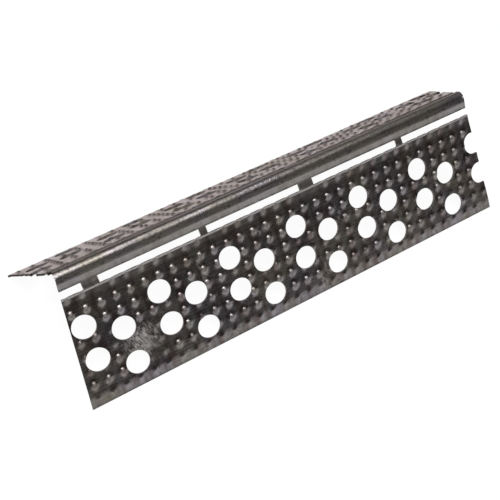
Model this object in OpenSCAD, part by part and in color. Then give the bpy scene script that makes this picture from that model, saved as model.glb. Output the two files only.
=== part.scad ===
// Perforated corner bead for plasterboard, a short cut length.
// Millimetres, +Z up. The bead stands on the free edges of its flanges, nose up, and runs along X.
// Across a flange, sizes are taken down from the sharp corner where the two outer faces would meet.
// Along the bead, sizes are taken from the left end of the nose.

/* [Sheet] */
// Thickness of the steel sheet
sheet = 0.5; // [0.35:0.05:0.9]
// Outside radius of the folded nose
nose_radius = 1.2; // [0.9:0.1:2]
// Angle between the flanges
nose_angle = 84; // [80:1:94]
// Width of each flange
flange_width = 31; // [30:0.5:36]
// Length along the nose
nose_length = 107.5; // [96:0.5:124]

/* [End cuts] */
// Reach of the front flange past the nose, left end, at its free edge
front_left_reach = 3.7; // [1:0.1:6]
// Reach of the front flange past the nose, right end, at its free edge
front_right_reach = 0.2; // [0.1:0.1:6]
// Reach of the back flange past the nose, left end, at its free edge
back_left_reach = 7.2; // [5:0.1:9]
// Reach of the back flange past the nose, right end, at its free edge
back_right_reach = 12.4; // [11:0.1:14]

/* [Slots beside the nose] */
// Distance down to the upper side of the slots
slot_top = 4.1; // [3.5:0.1:5]
// Width of the slots
slot_width = 1.7; // [1:0.1:2.5]
// Middle of the first bridge between slots
first_bridge = 6.3; // [5.5:0.1:7.5]
// Distance from bridge to bridge
bridge_pitch = 26.75; // [24:0.05:29]
// Width of the wide bridges
wide_bridge = 3.7; // [2.5:0.1:5]
// Width of the narrow bridges
narrow_bridge = 1.7; // [1:0.1:2.5]

/* [Perforation] */
// Diameter of the holes
hole_diameter = 5.4; // [4.5:0.1:5.5]
// Distance from one pair of holes to the like pair after it
hole_pitch = 17.6; // [16.5:0.1:19]
// Step from the first pair of holes to the second pair
pair_step = 7.6; // [7:0.1:9]
// First hole of the front flange
front_first_hole = 1.5; // [1.3:0.1:2]
// First hole of the back flange
back_first_hole = -0.9; // [-1.1:0.1:-0.7]
// Distance from the free edge up to the fourth row of holes
edge_to_row = 5.3; // [4.5:0.1:5.8]
// Step from the fourth row up to the third
third_row_step = 4.6; // [4.2:0.1:4.8]
// Step from the third row up to the second
second_row_step = 3.9; // [3.7:0.1:4.2]
// Step from the second row up to the first
first_row_step = 4; // [3.7:0.1:4.2]

/* [Colours] */
zinc_colour = "#8f8f90";

/* [Hidden] */
$fn = 64;
half_angle = nose_angle / 2;
corner_height = flange_width * cos(half_angle) + sheet * sin(half_angle);
nose_drop = nose_radius / sin(half_angle);
tangent_at = nose_radius / tan(half_angle);
middle_x = (nose_length + max(front_right_reach, back_right_reach)
    - max(front_left_reach, back_left_reach)) / 2;
row_four = flange_width - edge_to_row;
row_three = row_four - third_row_step;
row_two = row_three - second_row_step;
row_one = row_two - first_row_step;
spare = 0.01;
longest_reach = max(front_left_reach, front_right_reach, back_left_reach, back_right_reach);
overrun = longest_reach + hole_diameter;

// How far past the nose a flange reaches at a distance t down from the corner
function reach_at(t, reach) = reach * (t - tangent_at) / (flange_width - tangent_at);

// Plate of one flange, drawn flat: x along the bead, y down the flange, z through the sheet
module flange_plate(left_reach, right_reach) {
    linear_extrude(height = sheet)
        polygon([
            [0, tangent_at - spare],
            [nose_length, tangent_at - spare],
            [nose_length + right_reach, flange_width],
            [-left_reach, flange_width]
        ]);
}

// One long slot between two bridges
module slot(from, to) {
    translate([from, slot_top, -1])
        cube([to - from, slot_width, sheet + 2]);
}

// Row of slots beside the nose, open at both ends of the bead
module slot_row() {
    count = ceil((nose_length + overrun - first_bridge) / bridge_pitch);
    slot(-overrun, first_bridge - wide_bridge / 2);
    for (i = [0 : count - 1]) {
        here = i % 2 == 0 ? wide_bridge : narrow_bridge;
        next = i % 2 == 0 ? narrow_bridge : wide_bridge;
        slot(first_bridge + i * bridge_pitch + here / 2,
            first_bridge + (i + 1) * bridge_pitch - next / 2);
    }
}

// One round hole through the sheet
module hole(along, down) {
    translate([along, down, -1])
        cylinder(h = sheet + 2, d = hole_diameter);
}

// Hole at one place in a row, left out where it would lie clear past the end of the flange
module hole_if_near(along, down, right_reach) {
    end_slant = atan(right_reach / (flange_width - tangent_at));
    clear = (along - nose_length - reach_at(down, right_reach)) * cos(end_slant);
    if (clear < hole_diameter / 2 - 0.2)
        hole(along, down);
}

// Four rows of holes in staggered pairs
module perforation(first_hole, right_reach) {
    count = ceil((nose_length + overrun) / hole_pitch);
    for (i = [0 : count - 1]) {
        along = first_hole + i * hole_pitch;
        hole_if_near(along, row_one, right_reach);
        hole_if_near(along, row_three, right_reach);
        hole_if_near(along + pair_step, row_two, right_reach);
        hole_if_near(along + pair_step, row_four, right_reach);
    }
}

// Finished flange, drawn flat
module flange(left_reach, right_reach, first_hole) {
    difference() {
        flange_plate(left_reach, right_reach);
        slot_row();
        perforation(first_hole, right_reach);
    }
}

// Rounded fold between the flanges
module nose() {
    translate([0, 0, corner_height - nose_drop])
        difference() {
            rotate([90, 0, 90])
                cylinder(h = nose_length, r = nose_radius);
            translate([-1, 0, 0])
                rotate([90, 0, 90])
                    cylinder(h = nose_length + 2, r = nose_radius - sheet);
            translate([-1, 0, 0])
                rotate([half_angle - 90, 0, 0])
                    translate([0, 0, -5])
                        cube([nose_length + 2, 5, 10]);
            translate([-1, 0, 0])
                rotate([270 - half_angle, 0, 0])
                    translate([0, 0, -5])
                        cube([nose_length + 2, 5, 10]);
        }
}

module corner_bead() {
    color(zinc_colour)
        translate([-middle_x, 0, 0])
            union() {
                nose();
                // Front flange, outer face towards -Y
                translate([0, 0, corner_height])
                    rotate([270 - half_angle, 0, 0])
                        flange(front_left_reach, front_right_reach, front_first_hole);
                // Back flange, outer face towards +Y
                translate([0, 0, corner_height])
                    rotate([half_angle - 90, 0, 0])
                        translate([0, 0, -sheet])
                            flange(back_left_reach, back_right_reach, back_first_hole);
            }
}

corner_bead();
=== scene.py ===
"""Perforated corner bead for plasterboard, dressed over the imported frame.

The bead is made the way the real one is: a flat strip is knurled between rollers,
trimmed, given its sheet thickness, punched, and folded along its middle.
"""
import math
import random

import bmesh
import bpy
from bpy.props import FloatProperty, FloatVectorProperty, PointerProperty
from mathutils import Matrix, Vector


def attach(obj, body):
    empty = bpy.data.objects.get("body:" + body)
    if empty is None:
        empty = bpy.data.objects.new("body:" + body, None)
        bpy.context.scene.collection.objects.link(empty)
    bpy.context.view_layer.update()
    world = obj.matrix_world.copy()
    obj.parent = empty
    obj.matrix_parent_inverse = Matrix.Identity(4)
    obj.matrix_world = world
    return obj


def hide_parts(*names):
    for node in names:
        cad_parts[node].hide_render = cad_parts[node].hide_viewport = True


bl_info = {
    "name": "Corner bead",
    "version": (1, 0, 0),
    "blender": (4, 5, 0),
    "location": "View3D > Sidebar > Corner bead",
    "description": "Makes a knurled, punched and folded steel corner bead and its studio",
    "category": "Mesh",
}

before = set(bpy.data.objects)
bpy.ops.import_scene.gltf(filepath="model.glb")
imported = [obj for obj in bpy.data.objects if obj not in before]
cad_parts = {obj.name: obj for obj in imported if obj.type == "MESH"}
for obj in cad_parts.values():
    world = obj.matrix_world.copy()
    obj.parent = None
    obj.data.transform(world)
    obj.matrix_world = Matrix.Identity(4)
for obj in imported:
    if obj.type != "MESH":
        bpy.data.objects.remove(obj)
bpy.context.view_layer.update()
MM = 0.001

# Sides of the fold line: the front flange lies towards -Y and the back flange towards +Y
FRONT = -1
BACK = 1
# Rows of bumps, counted from the first full one: half a row at the slots, and one at the free edge
LIP_ROW = -1
EDGE_ROW = 6
BUMP_ROWS = range(LIP_ROW, EDGE_ROW + 1)
# Bumps in a row, counted from the one at knurl_start, with some to spare past both ends
BUMP_COLUMNS = range(-16, 25)
# Points closer together than this become one
MERGE = 1e-6
# Thickness of the tools that go right through the strip
THROUGH = 4 * MM


def linear(code):
    """Linear colour with alpha from an sRGB hex value."""
    channels = [int(code[i:i + 2], 16) / 255 for i in (1, 3, 5)]
    light = [c / 12.92 if c <= 0.04045 else ((c + 0.055) / 1.055) ** 2.4 for c in channels]
    return (*light, 1.0)


def length(name, description, millimetres):
    """A length in the panel, given in millimetres."""
    return FloatProperty(
        name=name, description=description, default=millimetres * MM, unit="LENGTH", precision=5)


def colour(name, description, code):
    """A colour in the panel, given as an sRGB hex value."""
    return FloatVectorProperty(
        name=name, description=description, default=linear(code), size=4, subtype="COLOR", min=0, max=1)


class BeadSizes(bpy.types.PropertyGroup):
    """Sizes of the bead.

    Across a flange they run down from the sharp corner, where the two outer faces would meet.
    Along the bead they run from the left end of the nose."""

    sheet: length("Sheet", "Thickness of the steel sheet", 0.5)
    nose_radius: length("Nose radius", "Outside radius of the fold", 1.2)
    nose_angle: FloatProperty(
        name="Nose angle", description="Angle between the flanges",
        default=math.radians(84), subtype="ANGLE")
    flange_width: length("Flange width", "Width of each flange", 31)
    nose_length: length("Nose length", "Length along the nose", 107.5)
    front_left_reach: length("Front left reach", "Reach of the front flange past the nose, left end", 3.7)
    front_right_reach: length(
        "Front right reach", "Reach of the front flange past the nose, right end", 0.2)
    back_left_reach: length("Back left reach", "Reach of the back flange past the nose, left end", 7.2)
    back_right_reach: length("Back right reach", "Reach of the back flange past the nose, right end", 12.4)
    slot_top: length("Slot top", "Distance down to the upper side of the slots", 4.1)
    slot_width: length("Slot width", "Width of the slots", 1.7)
    first_bridge: length("First bridge", "Middle of the first bridge between slots", 6.3)
    bridge_pitch: length("Bridge pitch", "Distance from bridge to bridge", 26.75)
    wide_bridge: length("Wide bridge", "Width of the wide bridges", 3.7)
    narrow_bridge: length("Narrow bridge", "Width of the narrow bridges", 1.7)
    hole_diameter: length("Hole diameter", "Diameter of the holes", 5.4)
    hole_pitch: length("Hole pitch", "Distance from one pair of holes to the like pair after it", 17.6)
    pair_step: length("Pair step", "Step from the first pair of holes to the second pair", 7.6)
    front_first_hole: length("Front first hole", "First hole of the front flange", 1.5)
    back_first_hole: length("Back first hole", "First hole of the back flange", -0.9)
    row_one: length("Row one", "Distance down to the first row of holes", 13.2)
    row_two: length("Row two", "Distance down to the second row of holes", 17.2)
    row_three: length("Row three", "Distance down to the third row of holes", 21.1)
    row_four: length("Row four", "Distance down to the fourth row of holes", 25.7)
    knurl_along: length("Knurl along", "Distance from bump to bump along the bead", 3.38)
    knurl_across: length("Knurl across", "Distance from row to row of bumps", 3.26)
    knurl_start: length("Knurl start", "Place of one bump along the bead", 44.45)
    knurl_row: length("First knurl row", "Distance down to the first full row of bumps", 9.68)
    knurl_lean: length("Knurl lean", "Step back along the bead from row to row of bumps", 0.28)
    knurl_height: length("Knurl height", "Height of a bump", 0.54)
    knurl_spread: length("Knurl spread", "Half width of a bump at its foot, across the bead", 1.02)
    knurl_narrow: length("Knurl narrow", "Half width of a bump at its foot, along the bead", 0.92)
    burr_wall: length("Burr wall", "Thickness of the burr round a hole, on the inner face", 0.14)
    burr_depth: length("Burr depth", "How far the burr stands out from the inner face", 0.12)
    lip_rise: length("Lip rise", "How far the lower lip of the slots stands proud", 0.34)
    nose_rise: length("Nose rise", "How far the nose stands proud of the flanges", 0.3)


class BeadColours(bpy.types.PropertyGroup):
    """Colours of the zinc and of the studio."""

    zinc: colour("Zinc", "Main colour of the zinc coat", "#8a8685")
    warm_zinc: colour("Warm zinc", "Colour where the coat has yellowed", "#858074")
    cool_zinc: colour("Cool zinc", "Colour where the coat has a violet cast", "#88838c")
    # This colour also paints the sheen on the band of the front flange and the highlight along the lower
    # side of the slots
    rubbed_zinc_and_painted_light: colour("Bare zinc", "Colour where the coat is rubbed", "#bdbab9")
    # Painted shade: this dark colour of the cut ends stands in for shade on the cut steel
    cut_end_shade: colour("Sheared steel", "Colour of the cut ends", "#33302f")
    # This colour also paints shade on the band behind the nose, on the back flange
    grime_and_shade: colour("Grime", "Colour of the grubby spots", "#55504c")
    stain: colour("Stain", "Colour of the brown stains across the flanges", "#5c4a44")
    floor: colour("Floor", "Colour of the studio floor", "#fafafa")
    dusk: colour("Dusk", "Colour of the dark part of the studio", "#464340")


def deselect_all():
    """Leaves edit mode and selects nothing."""
    if bpy.context.object and bpy.context.object.mode != "OBJECT":
        bpy.ops.object.mode_set(mode="OBJECT")
    bpy.ops.object.select_all(action="DESELECT")


def settled():
    """Puts the place, turn and size of the active object into its mesh, and returns it."""
    bpy.ops.object.transform_apply(location=True, rotation=True, scale=True)
    return bpy.context.object


def pick_points(piece, test):
    """In edit mode, selects the points that pass the test and returns how many there are."""
    bpy.ops.mesh.select_mode(type="VERT")
    mesh = bmesh.from_edit_mesh(piece.data)
    count = 0
    for point in mesh.verts:
        chosen = bool(test(point.co))
        point.select_set(chosen)
        count += chosen
    mesh.select_flush_mode()
    bmesh.update_edit_mesh(piece.data)
    return count


def pick_faces(piece, test):
    """In edit mode, selects the faces whose middle passes the test."""
    bpy.ops.mesh.select_mode(type="FACE")
    mesh = bmesh.from_edit_mesh(piece.data)
    for face in mesh.faces:
        face.select_set(False)
    for face in mesh.faces:
        if test(face.calc_center_median()):
            face.select_set(True)
    mesh.select_flush_mode()
    bmesh.update_edit_mesh(piece.data)


def press(piece, depth, spread, test):
    """Presses the chosen points in by a depth, and the sheet round them less and less over a spread.

    A negative depth raises them."""
    if pick_points(piece, test):
        bpy.ops.transform.translate(
            value=(0, depth, 0), use_proportional_edit=True,
            proportional_edit_falloff="LINEAR", proportional_size=spread)


def half_angle(sizes):
    """Angle between a flange and the upright."""
    return sizes.nose_angle / 2


def tangent_at(sizes):
    """Distance down from the sharp corner at which a flange turns into the nose."""
    return sizes.nose_radius / math.tan(half_angle(sizes))


def half_arc(sizes):
    """Half the flat width of the nose."""
    return sizes.nose_radius * (math.pi / 2 - half_angle(sizes))


def flat(sizes, down):
    """Distance from the fold line on the flat strip for a distance down from the sharp corner."""
    return down - tangent_at(sizes) + half_arc(sizes)


def middle(sizes):
    """Middle of the whole bead along its length, from the left end of the nose."""
    return (sizes.nose_length + sizes.back_right_reach - sizes.back_left_reach) / 2


def corner_height(sizes):
    """Height of the sharp corner over the floor."""
    return sizes.flange_width * math.cos(half_angle(sizes)) + sizes.sheet * math.sin(half_angle(sizes))


def nose_top(sizes):
    """Height of the top of the fold over the floor."""
    return corner_height(sizes) + sizes.nose_radius - sizes.nose_radius / math.sin(half_angle(sizes))


def reaches(sizes, side):
    """How far a flange reaches past the nose at its free edge, on the left and on the right."""
    if side == FRONT:
        return sizes.front_left_reach, sizes.front_right_reach
    return sizes.back_left_reach, sizes.back_right_reach


def ends(sizes, side, down):
    """Places of the left and the right end of a flange at a distance down from the sharp corner."""
    left, right = reaches(sizes, side)
    share = (down - tangent_at(sizes)) / (sizes.flange_width - tangent_at(sizes))
    return -left * share, sizes.nose_length + right * share


def hole_rows(sizes):
    """Every row of holes as its side, its distance down and the places along it.

    A hole that would only nick the slanted right end, or lie clear of it, is left out."""
    least_bite = 0.2 * MM
    rows = (
        (sizes.row_one, 0), (sizes.row_two, sizes.pair_step),
        (sizes.row_three, 0), (sizes.row_four, sizes.pair_step))
    fall = sizes.flange_width - tangent_at(sizes)
    found = []
    for side, first in ((FRONT, sizes.front_first_hole), (BACK, sizes.back_first_hole)):
        slant = math.hypot(reaches(sizes, side)[1], fall) / fall
        past_end = (sizes.hole_diameter / 2 - least_bite) * slant
        for down, step in rows:
            room = ends(sizes, side, down)[1] + past_end - first - step
            count = math.ceil(room / sizes.hole_pitch)
            found.append((side, down, [first + step + i * sizes.hole_pitch for i in range(count)]))
    return found


def bridges(sizes):
    """Middle and width of each of the four bridges between slots, wide and narrow in turn."""
    widths = (sizes.wide_bridge, sizes.narrow_bridge) * 2
    return [(sizes.first_bridge + i * sizes.bridge_pitch, width) for i, width in enumerate(widths)]


def lean_at(sizes, at):
    """How far the rows of bumps have stepped back at a distance from the fold line."""
    return sizes.knurl_lean * max(0.0, abs(at) - flat(sizes, sizes.slot_top)) / sizes.knurl_across


def in_rub(side, along, down):
    """Whether a place lies in the rubbed patch on the left of the front flange, whose left side slants."""
    top, bottom = 17.5 * MM, 27 * MM
    right = 17 * MM
    slant, slant_top = 0.7, 14 * MM
    left = slant * (down - slant_top)
    return side == FRONT and left < along < right and top < down < bottom


def share_left(sizes, side, row, along, down, rows_of_holes):
    """Share of a bump's height that is left at its place.

    Bumps are half formed at the free edge, and flattened at the bridges, in the rubbed patch, beside holes
    by the punch, and at the ends by the shears."""
    edge_share, bridge_share, rub_share = 0.3, 0.15, 0.3
    hole_share, end_share = 0.45, 0.35
    beside_bridge = 0.6 * MM
    hole_inner, hole_outer = -1.3 * MM, 0.45 * MM
    left_zone, right_zone = 0.8 * MM, 1.4 * MM
    share = 1.0
    if row == EDGE_ROW:
        share = edge_share
    elif row == LIP_ROW and any(
            abs(along - spot) < width / 2 + beside_bridge for spot, width in bridges(sizes)):
        share = bridge_share
    elif in_rub(side, along, down):
        share = rub_share
    for hole_side, hole_down, holes in rows_of_holes:
        for hole in holes:
            gap = math.hypot(along - hole, down - hole_down) - sizes.hole_diameter / 2
            if hole_side == side and hole_inner < gap < hole_outer:
                share *= hole_share
    left, right = ends(sizes, side, down)
    if along < left + left_zone or along > right - right_zone:
        share *= end_share
    return share


def bump_heights(sizes):
    """Height of each bump by side, row and column, uneven by a fixed draw and less on the back flange."""
    dice = random.Random(11)
    least, most = 0.88, 1.1
    back_share = 0.85
    weak_chance, weak_share = 0.07, 0.6
    rows_of_holes = hole_rows(sizes)
    heights = {}
    for side in (FRONT, BACK):
        for row in BUMP_ROWS:
            down = sizes.knurl_row + row * sizes.knurl_across
            for column in BUMP_COLUMNS:
                along = sizes.knurl_start + column * sizes.knurl_along - lean_at(sizes, flat(sizes, down))
                share = dice.uniform(least, most) * (1 if side == FRONT else back_share)
                if dice.random() < weak_chance:
                    share *= weak_share
                share *= share_left(sizes, side, row, along, down, rows_of_holes)
                heights[side, row, column] = sizes.knurl_height * share
    return heights


def grid_columns(sizes):
    """Places along the bead of the points of the flat strip.

    Each has its bump, and its share of the way from the top of that bump to its foot. Between bumps the
    share is None."""
    shares = (-1, -0.6, -0.35, -0.1, 0.2, 0.6, 1)
    columns = []
    for bump in BUMP_COLUMNS:
        peak = sizes.knurl_start + bump * sizes.knurl_along
        columns += [(peak + share * sizes.knurl_narrow, bump, share) for share in shares]
        columns.append((peak + sizes.knurl_along / 2, bump, None))
    return columns


def grid_rows(sizes):
    """Distances from the fold line of the points of the flat strip, with bumps and shares as in a column.

    They are close over the nose and on the slope beside it, and the last one is spare for the trim."""
    shares = (-1, -0.7, -0.5, -0.32, -0.1, 0.25, 0.65, 1)
    nose_steps = 6
    slope_downs = (1.8, 2.35, 2.75, 3.15, 3.55, 3.95)
    slot_downs = ((4.5, 0.3), (5.1, -0.8))
    least_step = 0.2 * MM
    spare = 1 * MM
    rows = [(half_arc(sizes) * i / nose_steps, None, None) for i in range(nose_steps + 1)]
    rows += [(flat(sizes, down * MM), None, None) for down in slope_downs]
    rows += [(flat(sizes, down * MM), LIP_ROW, share) for down, share in slot_downs]
    for bump in BUMP_ROWS:
        peak = flat(sizes, sizes.knurl_row) + bump * sizes.knurl_across
        start = rows[-1][0] + least_step
        found = [(peak + share * sizes.knurl_spread, bump, share) for share in shares]
        rows += [row for row in found if row[0] > start]
        rows.append((peak + sizes.knurl_across / 2, bump, None))
    rows.append((rows[-1][0] + spare, None, None))
    return rows


def rise(sizes, height, row, from_row, from_column):
    """How far the sheet stands out at its shares of the way from the top of a bump to its foot.

    In the row at the slots the sheet is raised to a lip, which the bumps make uneven."""
    if from_row is None:
        return 0.0
    round_along = 0.0 if from_column is None else math.cos(math.pi / 2 * from_column) ** 2
    if row == LIP_ROW:
        even, uneven = 0.35, 1.1
        lip = sizes.lip_rise * (1 - from_row) / 2
        return lip * (even + uneven * round_along * height / sizes.knurl_height)
    return height * round_along * math.cos(math.pi / 2 * from_row) ** 2


def flat_strip(sizes):
    """Knurled flat strip that stands upright, with X along the bead and Z across it.

    The back flange is up and the outer face is towards -Y. The mesh is closer on the bumps and the nose.
    Each bump has a square foot and a round top, and the rows lean a little along the bead, which the
    edit-mode operators can't give without a window. So the points of the grid are placed in code."""
    columns = grid_columns(sizes)
    rows = grid_rows(sizes)
    across = [(FRONT, -at, bump, share) for at, bump, share in reversed(rows[1:])]
    across += [(BACK, at, bump, share) for at, bump, share in rows]
    heights = bump_heights(sizes)
    deselect_all()
    bpy.ops.mesh.primitive_grid_add(
        x_subdivisions=len(columns) - 1, y_subdivisions=len(across) - 1, size=1,
        rotation=(math.pi / 2, 0, 0))
    piece = settled()
    piece.name = "knurled_bead"
    for point in piece.data.vertices:
        along, column, from_column = columns[round((point.co.x + 0.5) * (len(columns) - 1))]
        side, at, row, from_row = across[round((point.co.z + 0.5) * (len(across) - 1))]
        out = rise(sizes, heights.get((side, row, column)), row, from_row, from_column)
        point.co = (along - lean_at(sizes, at) - middle(sizes), -out, at)
    return piece


def shape_edges(piece, sizes):
    """Stands the nose proud, with a slope down to the slots on either side, and turns in the free edges."""
    nose_foot = flat(sizes, 2.4 * MM)
    nose_slope = 1.6 * MM
    edge_line = flat(sizes, sizes.flange_width) - 0.2 * MM
    edge_depth = 0.2 * MM
    edge_slope = 2.4 * MM
    bpy.ops.object.mode_set(mode="EDIT")
    press(piece, -sizes.nose_rise, nose_slope, lambda spot: abs(spot.z) < nose_foot)
    press(piece, edge_depth, edge_slope, lambda spot: abs(spot.z) > edge_line)
    bpy.ops.object.mode_set(mode="OBJECT")


def trim(piece, sizes):
    """Cuts the strip to its width and its slanted ends, and into nose and flanges along two lines."""
    arc = half_arc(sizes)
    edge = flat(sizes, sizes.flange_width)
    run = edge - arc
    left_end = -middle(sizes)
    right_end = sizes.nose_length - middle(sizes)
    bpy.ops.object.mode_set(mode="EDIT")

    def cut(test, spot, normal, clear=True):
        """Cuts the chosen faces by a plane, and clears away what lies past it."""
        pick_faces(piece, test)
        bpy.ops.mesh.bisect(plane_co=spot, plane_no=normal, clear_outer=clear, threshold=1e-7)

    def anywhere(spot):
        return True

    def on_nose(spot):
        return abs(spot.z) < arc

    for side in (FRONT, BACK):
        cut(anywhere, (0, 0, side * arc), (0, 0, side), clear=False)
        cut(anywhere, (0, 0, side * edge), (0, 0, side))
    for side in (FRONT, BACK):
        left, right = reaches(sizes, side)

        def on_flange(spot):
            return side * spot.z > arc

        cut(on_flange, (left_end, 0, side * arc), (-run, 0, -side * left))
        cut(on_flange, (right_end, 0, side * arc), (run, 0, -side * right))
    cut(on_nose, (left_end, 0, 0), (-1, 0, 0))
    cut(on_nose, (right_end, 0, 0), (1, 0, 0))
    bpy.ops.mesh.select_all(action="SELECT")
    bpy.ops.mesh.remove_doubles(threshold=MERGE)
    bpy.ops.object.mode_set(mode="OBJECT")


def apply_modifier(piece, kind, **settings):
    """Adds one modifier with its settings and applies it."""
    deselect_all()
    piece.select_set(True)
    bpy.context.view_layer.objects.active = piece
    modifier = piece.modifiers.new(kind.lower(), kind)
    for key, value in settings.items():
        setattr(modifier, key, value)
    bpy.ops.object.modifier_apply(modifier=modifier.name)


def join_all(parts):
    """Joins like parts into one and returns it."""
    deselect_all()
    for part in parts:
        part.select_set(True)
    bpy.context.view_layer.objects.active = parts[0]
    bpy.ops.object.join()
    return bpy.context.object


def rods(sizes, start, stop, wall):
    """Rods through the flat strip between two depths, one at each hole and wider than it by a wall."""
    rows = []
    for side, down, holes in hole_rows(sizes):
        deselect_all()
        bpy.ops.mesh.primitive_cylinder_add(
            vertices=48, radius=sizes.hole_diameter / 2 + wall, depth=stop - start,
            rotation=(math.pi / 2, 0, 0),
            location=(holes[0] - middle(sizes), (start + stop) / 2, side * flat(sizes, down)))
        row = settled()
        apply_modifier(
            row, "ARRAY", count=len(holes), use_relative_offset=False, use_constant_offset=True,
            constant_offset_displace=(sizes.hole_pitch, 0, 0))
        rows.append(row)
    return join_all(rows)


def shears(sizes):
    """Blocks just past the slanted ends, one for each end of each flange.

    They take off what the burrs reach past the ends, from below the slots to the free edges."""
    high, low = 9 * MM, 30 * MM
    thick, tall = 10 * MM, 26 * MM
    clear = 0.02 * MM
    blocks = []
    for side in (FRONT, BACK):
        pairs = zip(ends(sizes, side, high), ends(sizes, side, low))
        for outward, (high_end, low_end) in zip((-1, 1), pairs):
            slant = math.atan2(side * (low_end - high_end), low - high)
            at = side * flat(sizes, (high + low) / 2)
            spot = Vector(((high_end + low_end) / 2 - middle(sizes), 0, at))
            spot += Vector((math.cos(slant), 0, -math.sin(slant))) * outward * (thick / 2 + clear)
            deselect_all()
            bpy.ops.mesh.primitive_cube_add(
                size=1, location=spot, rotation=(0, slant, 0), scale=(thick, THROUGH, tall))
            blocks.append(settled())
    return join_all(blocks)


def punches(sizes):
    """Punch tools for all holes and slots, as one piece in the place of the flat strip."""
    past_ends = 15 * MM
    stops = [-past_ends]
    for spot, width in bridges(sizes):
        stops += [spot - width / 2, spot + width / 2]
    stops.append(sizes.nose_length + past_ends)
    at = flat(sizes, sizes.slot_top + sizes.slot_width / 2)
    tools = [rods(sizes, -THROUGH / 2, THROUGH / 2, 0)]
    for side in (FRONT, BACK):
        for start, stop in zip(stops[0::2], stops[1::2]):
            deselect_all()
            bpy.ops.mesh.primitive_cube_add(
                size=1, location=((start + stop) / 2 - middle(sizes), 0, side * at),
                scale=(stop - start, THROUGH, sizes.slot_width))
            tools.append(settled())
    return join_all(tools)


def fold(piece, sizes):
    """Folds the flat strip along its middle and stands it on its free edges, nose up."""
    edge = max(abs(point.co.z) for point in piece.data.vertices)
    share = half_arc(sizes) / (2 * edge)
    apply_modifier(
        piece, "SIMPLE_DEFORM", deform_method="BEND", deform_axis="X",
        angle=math.pi - sizes.nose_angle, limits=(0.5 - share, 0.5 + share))
    piece.rotation_euler = (-math.pi / 2, 0, 0)
    piece.location = (0, 0, nose_top(sizes))
    settled()


def clean_up():
    """Closes the seams of the active piece, and shades its bumps smooth and its cut edges sharp."""
    sharp_above = math.radians(42)
    bpy.ops.object.mode_set(mode="EDIT")
    bpy.ops.mesh.select_all(action="SELECT")
    bpy.ops.mesh.remove_doubles(threshold=MERGE)
    bpy.ops.mesh.dissolve_degenerate(threshold=MERGE)
    # Slivers that stand off a closed seam with two free edges
    bpy.ops.mesh.select_mode(type="EDGE")
    bpy.ops.mesh.select_all(action="DESELECT")
    bpy.ops.mesh.select_non_manifold(
        use_wire=False, use_multi_face=False, use_non_contiguous=False, use_verts=False)
    bpy.ops.mesh.delete(type="EDGE")
    bpy.ops.mesh.select_all(action="SELECT")
    bpy.ops.mesh.normals_make_consistent(inside=False)
    bpy.ops.object.mode_set(mode="OBJECT")
    bpy.ops.object.shade_smooth_by_angle(angle=sharp_above)


def add_node(tree, kind, inputs=None, **settings):
    """Adds a node with its settings, and sets or links its inputs."""
    made = tree.nodes.new(kind)
    for key, value in settings.items():
        setattr(made, key, value)
    for key, value in (inputs or {}).items():
        if isinstance(value, bpy.types.NodeSocket):
            tree.links.new(value, made.inputs[key])
        else:
            made.inputs[key].default_value = value
    return made


def zinc_coat(tree, place, colours):
    """Zinc as it froze on the sheet, in clouds of a warm and a cool cast and grains of uneven tone.

    Returns the colour, and the clouds for the gloss."""
    cloud_size = 9 * MM
    grain_size = 2.5 * MM
    cloud = add_node(tree, "ShaderNodeTexNoise", {
        "Vector": place, "Scale": 1 / cloud_size, "Detail": 3.0, "Roughness": 0.55}).outputs["Fac"]
    warm = add_node(tree, "ShaderNodeMapRange", {
        "Value": cloud, "From Min": 0.4, "From Max": 0.6}).outputs["Result"]
    cast = add_node(tree, "ShaderNodeMix", {
        "Factor": warm, "A": colours.cool_zinc, "B": colours.warm_zinc}, data_type="RGBA").outputs["Result"]
    grain = add_node(tree, "ShaderNodeTexVoronoi", {
        "Vector": place, "Scale": 1 / grain_size}).outputs["Color"]
    tone = add_node(tree, "ShaderNodeMapRange", {
        "Value": grain, "To Min": 0.15, "To Max": 0.75}).outputs["Result"]
    zinc = add_node(tree, "ShaderNodeMix", {
        "Factor": tone, "A": cast, "B": colours.zinc}, data_type="RGBA").outputs["Result"]
    return zinc, cloud


def stained_zinc(tree, place, zinc, nose, colours):
    """Zinc with brown stains that run across the flanges, below the nose."""
    stain_width, stain_length = 1.6 * MM, 7 * MM
    crosswise = add_node(tree, "ShaderNodeMapping", {
        "Vector": place, "Scale": (1 / stain_width, 1 / stain_length, 1 / stain_length)}).outputs["Vector"]
    runs = add_node(tree, "ShaderNodeTexNoise", {
        "Vector": crosswise, "Scale": 1.0, "Detail": 2.0}).outputs["Fac"]
    stained = add_node(tree, "ShaderNodeMapRange", {
        "Value": runs, "From Min": 0.47, "From Max": 0.64, "To Max": 0.6}).outputs["Result"]
    below_nose = add_node(tree, "ShaderNodeMath", {
        0: stained, 1: nose}, operation="SUBTRACT", use_clamp=True).outputs["Value"]
    return add_node(tree, "ShaderNodeMix", {
        "Factor": below_nose, "A": zinc, "B": colours.stain}, data_type="RGBA").outputs["Result"]


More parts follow.
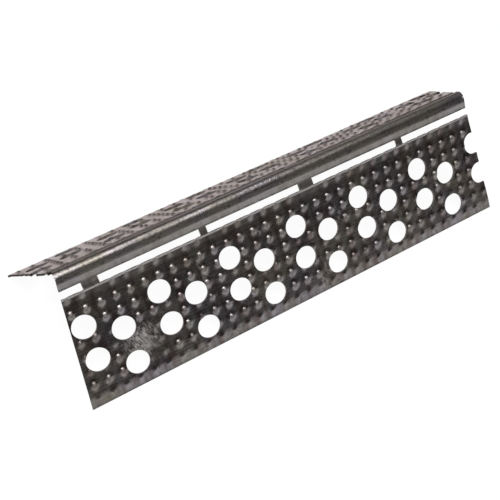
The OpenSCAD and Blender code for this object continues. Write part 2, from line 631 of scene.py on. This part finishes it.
def scrapes(tree, place, nose, sizes):
    """Mask of short scrapes, in a rub on the left of the front flange and in scuffs here and there."""
    rub_along, rub_down = 11.5 * MM, 21.6 * MM
    rub_core, rub_edge = 1.5 * MM, 8 * MM
    scuff_size = 6 * MM
    scrape_width, scrape_length = 0.8 * MM, 2 * MM
    scrape_turn = math.radians(-25)
    rub_spot = (
        rub_along - middle(sizes),
        -rub_down * math.sin(half_angle(sizes)),
        corner_height(sizes) - rub_down * math.cos(half_angle(sizes)))
    away = add_node(tree, "ShaderNodeVectorMath", {
        0: place, 1: rub_spot}, operation="DISTANCE").outputs["Value"]
    near = add_node(tree, "ShaderNodeMapRange", {
        "Value": away, "From Min": rub_edge, "From Max": rub_core}).outputs["Result"]
    patches = add_node(tree, "ShaderNodeTexNoise", {
        "Vector": place, "Scale": 1 / scuff_size, "Detail": 1.0}).outputs["Fac"]
    scuffs = add_node(tree, "ShaderNodeMapRange", {
        "Value": patches, "From Min": 0.58, "From Max": 0.72, "To Max": 0.75}).outputs["Result"]
    touched = add_node(tree, "ShaderNodeMath", {0: near, 1: scuffs}, operation="MAXIMUM").outputs["Value"]
    off_nose = add_node(tree, "ShaderNodeMath", {
        0: touched, 1: nose}, operation="SUBTRACT", use_clamp=True).outputs["Value"]
    turned = add_node(tree, "ShaderNodeMapping", {
        "Vector": place, "Rotation": (0, scrape_turn, 0),
        "Scale": (scrape_width, scrape_length, scrape_length)}, vector_type="TEXTURE").outputs["Vector"]
    strokes = add_node(tree, "ShaderNodeTexNoise", {
        "Vector": turned, "Scale": 1.0, "Detail": 3.0, "Distortion": 1.6}).outputs["Fac"]
    rub = add_node(tree, "ShaderNodeMath", {0: off_nose, 1: strokes}, operation="MULTIPLY").outputs["Value"]
    return add_node(tree, "ShaderNodeMapRange", {
        "Value": rub, "From Min": 0.3, "From Max": 0.6}).outputs["Result"]


def bump_tops(tree, axes, off_middle, rolled, sizes):
    """Mask of the tops of the bumps, by how far they stand above the flat of the sheet, below the slots."""
    foot, full = 0.1 * MM, 0.35 * MM
    sine, cosine = math.sin(half_angle(sizes)), math.cos(half_angle(sizes))
    upward = add_node(tree, "ShaderNodeMath", {
        0: axes["Z"], 1: sine, 2: -corner_height(sizes) * sine}, operation="MULTIPLY_ADD").outputs["Value"]
    lifted = add_node(tree, "ShaderNodeMath", {
        0: off_middle, 1: cosine, 2: upward}, operation="MULTIPLY_ADD").outputs["Value"]
    crest = add_node(tree, "ShaderNodeMapRange", {
        "Value": lifted, "From Min": foot, "From Max": full}).outputs["Result"]
    return add_node(tree, "ShaderNodeMath", {
        0: crest, 1: rolled}, operation="SUBTRACT", use_clamp=True).outputs["Value"]


def cut_faces(tree, coordinates, axes, sizes):
    """Masks of the walls that shears and punches left, which face along the sheet, and of the cut ends,
    which get painted shade.
    """
    wall_below = 0.5
    end_above = 0.7
    end_zone = 0.4 * MM
    sine, cosine = math.sin(half_angle(sizes)), math.cos(half_angle(sizes))
    facing = add_node(tree, "ShaderNodeSeparateXYZ", {"Vector": coordinates["Normal"]}).outputs
    side = add_node(tree, "ShaderNodeMath", {0: axes["Y"]}, operation="SIGN").outputs["Value"]
    outward = add_node(tree, "ShaderNodeMath", {
        0: facing["Y"], 1: side}, operation="MULTIPLY").outputs["Value"]
    level = add_node(tree, "ShaderNodeMath", {
        0: outward, 1: cosine}, operation="MULTIPLY").outputs["Value"]
    off_face = add_node(tree, "ShaderNodeMath", {
        0: facing["Z"], 1: sine, 2: level}, operation="MULTIPLY_ADD").outputs["Value"]
    flatness = add_node(tree, "ShaderNodeMath", {0: off_face}, operation="ABSOLUTE").outputs["Value"]
    wall = add_node(tree, "ShaderNodeMath", {
        0: flatness, 1: wall_below}, operation="LESS_THAN").outputs["Value"]
    endways = add_node(tree, "ShaderNodeMath", {0: facing["X"]}, operation="ABSOLUTE").outputs["Value"]
    upright = add_node(tree, "ShaderNodeMath", {
        0: endways, 1: end_above}, operation="GREATER_THAN").outputs["Value"]
    from_middle = add_node(tree, "ShaderNodeMath", {
        0: axes["X"], 1: middle(sizes) - sizes.nose_length / 2}, operation="ADD").outputs["Value"]
    along = add_node(tree, "ShaderNodeMath", {0: from_middle}, operation="ABSOLUTE").outputs["Value"]
    outside = add_node(tree, "ShaderNodeMath", {
        0: along, 1: sizes.nose_length / 2 - end_zone}, operation="GREATER_THAN").outputs["Value"]
    # The cut ends, which are painted dark as shade
    shaded_ends = add_node(tree, "ShaderNodeMath", {
        0: upright, 1: outside}, operation="MULTIPLY").outputs["Value"]
    return wall, shaded_ends


def galvanised_steel(sizes, colours):
    """Hot-dip galvanised steel sheet, rolled, knurled, punched and handled.

    The zinc is grey with a soft gloss, clouded by warm and cool patches and drawn with faint rolling lines.
    It is grubby in fine spots, stained brown, scraped clean in places, and rubbed dull on nose and bumps.
    Painted light: a sheen on the band of the front flange, a highlight along the lower side of the slots,
    and shade on the band behind the nose on the back flange and on the cut ends."""
    spot_size = 0.7 * MM
    line_gap, line_length = 0.3 * MM, 12 * MM
    top = nose_top(sizes)
    nose_low, nose_high = top - 1.4 * MM, top - 1 * MM
    band_low, band_high = top - 4.4 * MM, top - 2.2 * MM
    front_blend, front_sheen_share = 0.5 * MM, 0.35
    back_low, back_high = 0.9 * MM, 1.3 * MM
    back_shade_share = 0.6
    lip_at, lip_half = 4.1 * MM, 0.12 * MM
    crest_bare = 0.14
    nose_pits, other_pits = 3.6, 0.4
    pit_depth = 0.03 * MM
    material = bpy.data.materials.new("galvanised_steel_sheet")
    material.use_nodes = True
    tree = material.node_tree
    tree.nodes.clear()
    coordinates = add_node(tree, "ShaderNodeTexCoord").outputs
    place = coordinates["Object"]
    axes = add_node(tree, "ShaderNodeSeparateXYZ", {"Vector": place}).outputs
    off_middle = add_node(tree, "ShaderNodeMath", {0: axes["Y"]}, operation="ABSOLUTE").outputs["Value"]
    # The nose, and with it the band below that the forming rolls pressed, down to the slots
    nose = add_node(tree, "ShaderNodeMapRange", {
        "Value": axes["Z"], "From Min": nose_low, "From Max": nose_high}).outputs["Result"]
    rolled = add_node(tree, "ShaderNodeMapRange", {
        "Value": axes["Z"], "From Min": band_low, "From Max": band_high}).outputs["Result"]
    # Rolling lines along the strip, and grubby spots
    stretch = add_node(tree, "ShaderNodeMapping", {
        "Vector": place, "Scale": (1 / line_length, 1 / line_gap, 1 / line_gap)}).outputs["Vector"]
    lines = add_node(tree, "ShaderNodeTexNoise", {
        "Vector": stretch, "Scale": 1.0, "Detail": 2.0}).outputs["Fac"]
    spots = add_node(tree, "ShaderNodeTexNoise", {
        "Vector": place, "Scale": 1 / spot_size, "Detail": 3.0, "Roughness": 0.6}).outputs["Fac"]
    grubby = add_node(tree, "ShaderNodeMapRange", {
        "Value": spots, "From Min": 0.52, "From Max": 0.7, "To Max": 0.7}).outputs["Result"]
    # Painted sheen: the band on the front flange is painted lighter with the rubbed zinc colour, less so
    # down the bridges
    band = add_node(tree, "ShaderNodeMath", {0: rolled, 1: nose}, operation="SUBTRACT").outputs["Value"]
    front = add_node(tree, "ShaderNodeMapRange", {
        "Value": axes["Y"], "From Min": front_blend, "From Max": -front_blend,
        "To Max": front_sheen_share}).outputs["Result"]
    painted_band_sheen = add_node(tree, "ShaderNodeMath", {0: band, 1: front}, operation="MULTIPLY").outputs["Value"]
    # Grime lies in streaks on the nose, and painted shade darkens the band on the back flange behind the
    # nose
    back = add_node(tree, "ShaderNodeMapRange", {
        "Value": axes["Y"], "From Min": back_low, "From Max": back_high}).outputs["Result"]
    back_band_shade = add_node(tree, "ShaderNodeMath", {0: rolled, 1: back}, operation="MULTIPLY").outputs["Value"]
    streaks = add_node(tree, "ShaderNodeMapRange", {
        "Value": lines, "From Min": 0.36, "From Max": 0.64, "To Max": 0.6}).outputs["Result"]
    handled = add_node(tree, "ShaderNodeMath", {
        0: nose, 1: streaks, 2: grubby}, operation="MULTIPLY_ADD", use_clamp=True).outputs["Value"]
    grime_and_shade_share = add_node(tree, "ShaderNodeMath", {
        0: back_band_shade, 1: back_shade_share, 2: handled}, operation="MULTIPLY_ADD", use_clamp=True).outputs["Value"]
    zinc, cloud = zinc_coat(tree, place, colours)
    browned = stained_zinc(tree, place, zinc, nose, colours)
    # Grubby spots and streaks, and the painted shade on the back band
    soiled_and_shaded = add_node(tree, "ShaderNodeMix", {
        "Factor": grime_and_shade_share, "A": browned, "B": colours.grime_and_shade}, data_type="RGBA").outputs["Result"]
    # Rubbed zinc shows lighter a little on the tops of the bumps and in scrapes. The same colour paints a
    # sheen on the band of the front flange and a highlight along the lower side of the slots
    # Painted highlight: a thin light line along the lower side of the slots
    lip = add_node(tree, "ShaderNodeMath", {
        0: off_middle, 1: lip_at, 2: lip_half}, operation="COMPARE").outputs["Value"]
    painted_sheen_and_highlight = add_node(tree, "ShaderNodeMath", {
        0: painted_band_sheen, 1: lip}, operation="MAXIMUM").outputs["Value"]
    crest = bump_tops(tree, axes, off_middle, rolled, sizes)
    bare_crest = add_node(tree, "ShaderNodeMath", {
        0: crest, 1: crest_bare}, operation="MULTIPLY").outputs["Value"]
    crest_and_painted_light = add_node(tree, "ShaderNodeMath", {
        0: bare_crest, 1: painted_sheen_and_highlight}, operation="MAXIMUM").outputs["Value"]
    scraped = scrapes(tree, place, nose, sizes)
    bare_and_painted_light = add_node(tree, "ShaderNodeMath", {0: scraped, 1: crest_and_painted_light}, operation="MAXIMUM").outputs["Value"]
    shown = add_node(tree, "ShaderNodeMix", {
        "Factor": bare_and_painted_light, "A": soiled_and_shaded, "B": colours.rubbed_zinc_and_painted_light}, data_type="RGBA").outputs["Result"]
    # Painted shade: the cut ends of the steel are painted dark, as if they lay in shade
    wall, shaded_ends = cut_faces(tree, coordinates, axes, sizes)
    finished = add_node(tree, "ShaderNodeMix", {
        "Factor": shaded_ends, "A": shown, "B": colours.cut_end_shade}, data_type="RGBA").outputs["Result"]
    # The gloss follows the clouds and the rolling lines
    dull = add_node(tree, "ShaderNodeMath", {0: cloud, 1: lines}, operation="ADD").outputs["Value"]
    rough = add_node(tree, "ShaderNodeMapRange", {
        "Value": dull, "From Min": 0.7, "From Max": 1.3, "To Min": 0.2, "To Max": 0.33}).outputs["Result"]
    # Duller are the rubbed nose, the tops of the bumps, rubbed zinc with the painted sheen and highlight,
    # the band of painted shade on the back flange, and the cut walls
    for mask, more in ((nose, 0.13), (crest, 0.4), (bare_and_painted_light, 0.34), (back_band_shade, 0.3), (wall, 0.32)):
        rough = add_node(tree, "ShaderNodeMath", {
            0: mask, 1: more, 2: rough}, operation="MULTIPLY_ADD").outputs["Value"]
    # The rolling lines and the spots are in the relief too, and pit the nose
    pits = add_node(tree, "ShaderNodeMath", {
        0: nose, 1: nose_pits, 2: other_pits}, operation="MULTIPLY_ADD").outputs["Value"]
    relief = add_node(tree, "ShaderNodeMath", {
        0: spots, 1: pits, 2: lines}, operation="MULTIPLY_ADD").outputs["Value"]
    bump = add_node(tree, "ShaderNodeBump", {
        "Height": relief, "Strength": 0.5, "Distance": pit_depth}).outputs["Normal"]
    steel = add_node(tree, "ShaderNodeBsdfPrincipled", {
        "Base Color": finished, "Metallic": 1.0, "Specular Tint": linear("#eadfdd"),
        "Roughness": rough, "Normal": bump}).outputs["BSDF"]
    add_node(tree, "ShaderNodeOutputMaterial", {"Surface": steel})
    return material


def floor_paper(colours):
    """White studio paper, matt, with a faint shadow, lit to plain white where it is seen or mirrored."""
    white_share = 0.9
    material = bpy.data.materials.new("white_paper")
    material.use_nodes = True
    tree = material.node_tree
    tree.nodes.clear()
    path = add_node(tree, "ShaderNodeLightPath").outputs
    seen = add_node(tree, "ShaderNodeMath", {
        0: path["Is Camera Ray"], 1: path["Is Glossy Ray"]}, operation="MAXIMUM").outputs["Value"]
    shown = add_node(tree, "ShaderNodeMath", {
        0: seen, 1: path["Is Transmission Ray"]}, operation="MAXIMUM").outputs["Value"]
    share = add_node(tree, "ShaderNodeMath", {
        0: shown, 1: white_share}, operation="MULTIPLY").outputs["Value"]
    paper = add_node(tree, "ShaderNodeBsdfDiffuse", {"Color": colours.floor}).outputs["BSDF"]
    white = add_node(tree, "ShaderNodeEmission", {
        "Color": (1.0, 1.0, 1.0, 1.0), "Strength": 1.05}).outputs["Emission"]
    both = add_node(tree, "ShaderNodeMixShader", {0: share, 1: paper, 2: white}).outputs["Shader"]
    add_node(tree, "ShaderNodeOutputMaterial", {"Surface": both})
    return material


def studio_world(colours):
    """Studio round the object: a white wall low down, open on the right, and dark above it.

    Seen straight on, it is white."""
    world = bpy.data.worlds.new("studio")
    bpy.context.scene.world = world
    world.use_nodes = True
    tree = world.node_tree
    tree.nodes.clear()
    ways = add_node(tree, "ShaderNodeTexCoord").outputs["Generated"]
    axes = add_node(tree, "ShaderNodeSeparateXYZ", {"Vector": ways}).outputs
    low = add_node(tree, "ShaderNodeMapRange", {
        "Value": axes["Z"], "From Min": 0.28, "From Max": 0.14},
        interpolation_type="SMOOTHSTEP").outputs["Result"]
    closed = add_node(tree, "ShaderNodeMapRange", {
        "Value": axes["X"], "From Min": 0.85, "From Max": 0.6},
        interpolation_type="SMOOTHSTEP").outputs["Result"]
    wall = add_node(tree, "ShaderNodeMath", {0: low, 1: closed}, operation="MULTIPLY").outputs["Value"]
    seen = add_node(tree, "ShaderNodeLightPath").outputs["Is Camera Ray"]
    white = add_node(tree, "ShaderNodeMath", {0: wall, 1: seen}, operation="MAXIMUM").outputs["Value"]
    shade = add_node(tree, "ShaderNodeMix", {
        "Factor": white, "A": colours.dusk, "B": (1.0, 1.0, 1.0, 1.0)}, data_type="RGBA").outputs["Result"]
    back = add_node(tree, "ShaderNodeBackground", {"Color": shade, "Strength": 1.0}).outputs["Background"]
    add_node(tree, "ShaderNodeOutputWorld", {"Surface": back})


class CORNERBEAD_OT_knurled_bead(bpy.types.Operator):
    """Make the knurled, punched and folded bead"""

    bl_idname = "cornerbead.knurled_bead"
    bl_label = "Knurled bead"

    def execute(self, context):
        if "corner_bead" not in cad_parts:
            raise RuntimeError("the frame has no corner_bead to dress")
        sizes = context.scene.bead_sizes
        piece = flat_strip(sizes)
        shape_edges(piece, sizes)
        trim(piece, sizes)
        apply_modifier(piece, "SOLIDIFY", thickness=sizes.sheet, offset=-1.0)
        burrs = rods(sizes, sizes.sheet / 2, sizes.sheet + sizes.burr_depth, sizes.burr_wall)
        steps = ((burrs, "UNION"), (shears(sizes), "DIFFERENCE"), (punches(sizes), "DIFFERENCE"))
        for tools, work in steps:
            apply_modifier(piece, "BOOLEAN", object=tools, operation=work, solver="MANIFOLD")
            deselect_all()
            tools.select_set(True)
            bpy.ops.object.delete()
        apply_modifier(piece, "TRIANGULATE", min_vertices=5)
        fold(piece, sizes)
        clean_up()
        piece.data.materials.clear()
        piece.data.materials.append(galvanised_steel(sizes, context.scene.bead_colours))
        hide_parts("corner_bead")
        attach(piece, "root")
        return {"FINISHED"}


class CORNERBEAD_OT_stage(bpy.types.Operator):
    """Set up the floor, the light and the camera"""

    bl_idname = "cornerbead.stage"
    bl_label = "Stage"

    def execute(self, context):
        scene = context.scene
        colours = scene.bead_colours
        # The floor lies just below the turned-in free edges
        floor_size = 6
        floor_height = -0.3 * MM
        deselect_all()
        bpy.ops.mesh.primitive_grid_add(
            x_subdivisions=4, y_subdivisions=4, size=floor_size, location=(0, 0, floor_height))
        floor = settled()
        floor.name = "floor"
        floor.data.materials.append(floor_paper(colours))
        studio_world(colours)
        # Name, place, size and power of each lamp: a soft box overhead, which draws the bright line on the
        # nose and the dots on the bumps, and a weak fill from behind
        lamps = (
            ("soft_box", (-0.02, -0.045, 0.48), (0.22, 0.4), 2.15),
            ("back_fill", (0.32, 0.31, 0.4), (0.36, 0.3), 0.14))
        lit_spot = Vector((0, 0, 0.012))
        for name, spot, size, power in lamps:
            bpy.ops.object.light_add(type="AREA", location=spot)
            lamp = context.object
            lamp.name = name
            lamp.data.shape = "RECTANGLE"
            lamp.data.size, lamp.data.size_y = size
            lamp.data.energy = power
            lamp.rotation_euler = (Vector(spot) - lit_spot).to_track_quat("Z", "Y").to_euler()
        # The camera as solved from the photo
        camera_spot = (-68.608 * MM, -90.746 * MM, 156.68 * MM)
        camera_turn = (math.radians(34.305), math.radians(-1.8104), math.radians(-30.8178))
        bpy.ops.object.camera_add(location=camera_spot, rotation=camera_turn)
        camera = context.object
        camera.data.sensor_width = 36
        camera.data.lens = 55.496
        camera.data.clip_start = 5 * MM
        scene.camera = camera
        scene.view_settings.view_transform = "Standard"
        return {"FINISHED"}


class CORNERBEAD_PT_panel(bpy.types.Panel):
    """Sizes, colours and makers of the bead"""

    bl_label = "Corner bead"
    bl_space_type = "VIEW_3D"
    bl_region_type = "UI"
    bl_category = "Corner bead"

    def draw(self, context):
        for group in (context.scene.bead_sizes, context.scene.bead_colours):
            for name in group.__annotations__:
                self.layout.prop(group, name)
        for operator in OPERATORS:
            self.layout.operator(operator.bl_idname)


OPERATORS = (CORNERBEAD_OT_knurled_bead, CORNERBEAD_OT_stage)
CLASSES = (BeadSizes, BeadColours) + OPERATORS + (CORNERBEAD_PT_panel,)


def register():
    """Registers the classes, and gives the scene its sizes and colours."""
    for each in CLASSES:
        bpy.utils.register_class(each)
    bpy.types.Scene.bead_sizes = PointerProperty(type=BeadSizes)
    bpy.types.Scene.bead_colours = PointerProperty(type=BeadColours)


def unregister():
    """Takes back what register did."""
    del bpy.types.Scene.bead_colours
    del bpy.types.Scene.bead_sizes
    for each in reversed(CLASSES):
        bpy.utils.unregister_class(each)


def main():
    """Makes the bead and its stage."""
    register()
    bpy.ops.cornerbead.knurled_bead()
    bpy.ops.cornerbead.stage()


if __name__ == "__main__":
    main()
